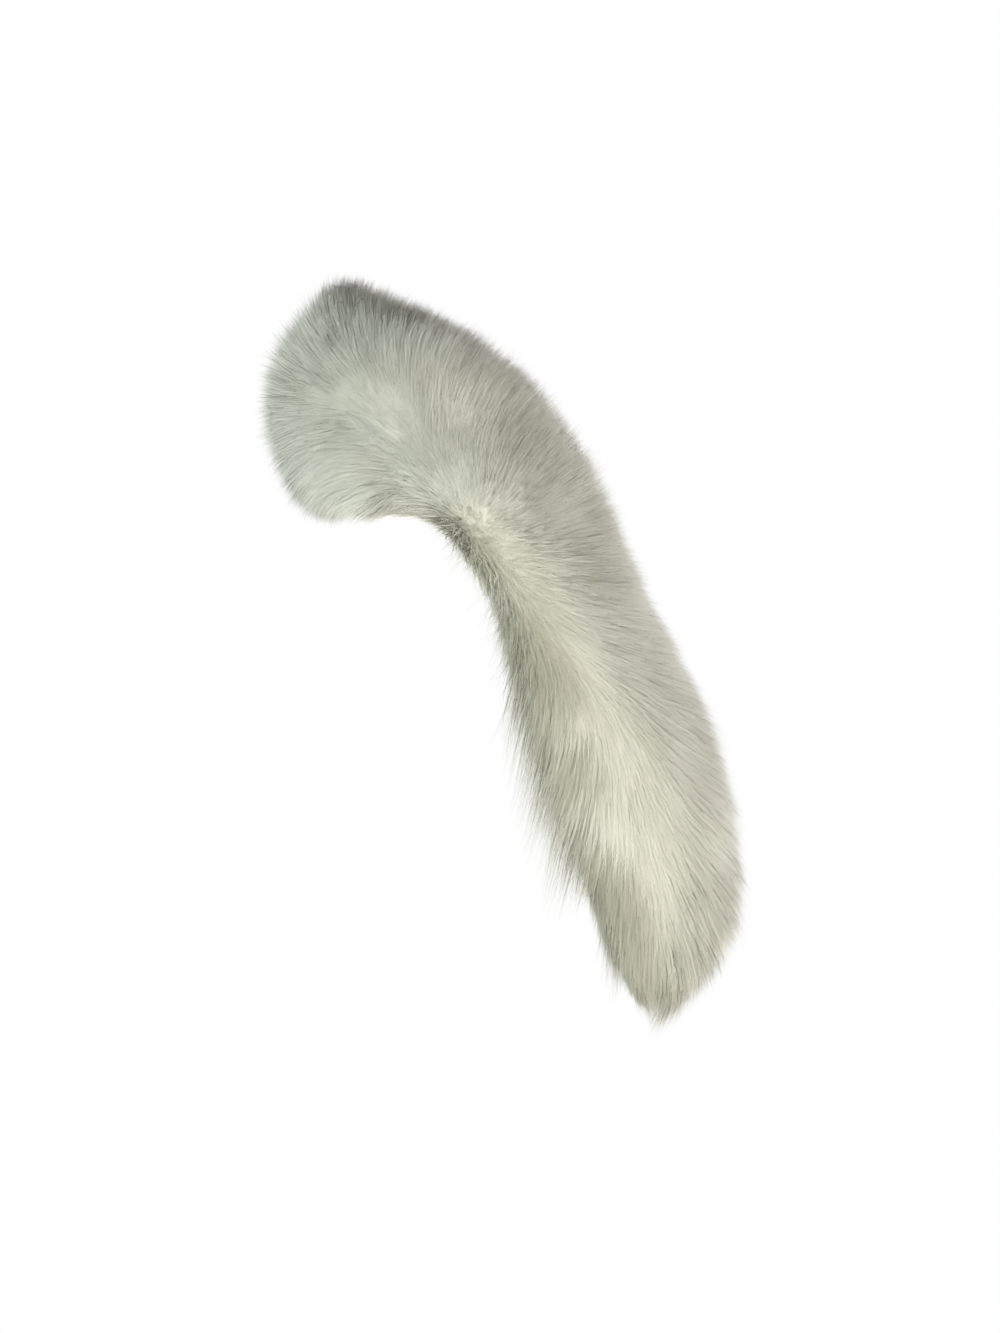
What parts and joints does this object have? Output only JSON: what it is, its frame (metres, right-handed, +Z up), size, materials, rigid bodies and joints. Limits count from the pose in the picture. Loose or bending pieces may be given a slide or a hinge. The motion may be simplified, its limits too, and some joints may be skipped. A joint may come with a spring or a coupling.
{
  "type": "fur collar wrap",
  "caption": "Long white fox fur stole worn as a collar: a full fur roll round the neck whose ends cross the collarbones and hang on the chest to rounded tips.",
  "frame": {"origin": "on the axis of the neck that the wrap is worn round, in the middle of the height of the band at the side of the neck", "axes": "+Z up, -Y the way the wearer faces, -X the wearer's right"},
  "size_m": [0.3588, 0.3112, 0.4759],
  "materials": {
    "pelt_suede": "soft dressed skin side of the pelt, matt cream suede with a furrier's seam at the centre back",
    "fox_fur": "long dense off-white fox hair with soft underfur, silky guard hairs and a slightly creamy cast"
  },
  "bodies": {
    "root": {"pelt_right": "pelt_suede", "pelt_left": "pelt_suede", "fur_neck_right": "fox_fur", "fur_neck_left": "fox_fur", "fur_front_right": "fox_fur", "fur_front_left": "fox_fur"}
  },
  "joints": []
}
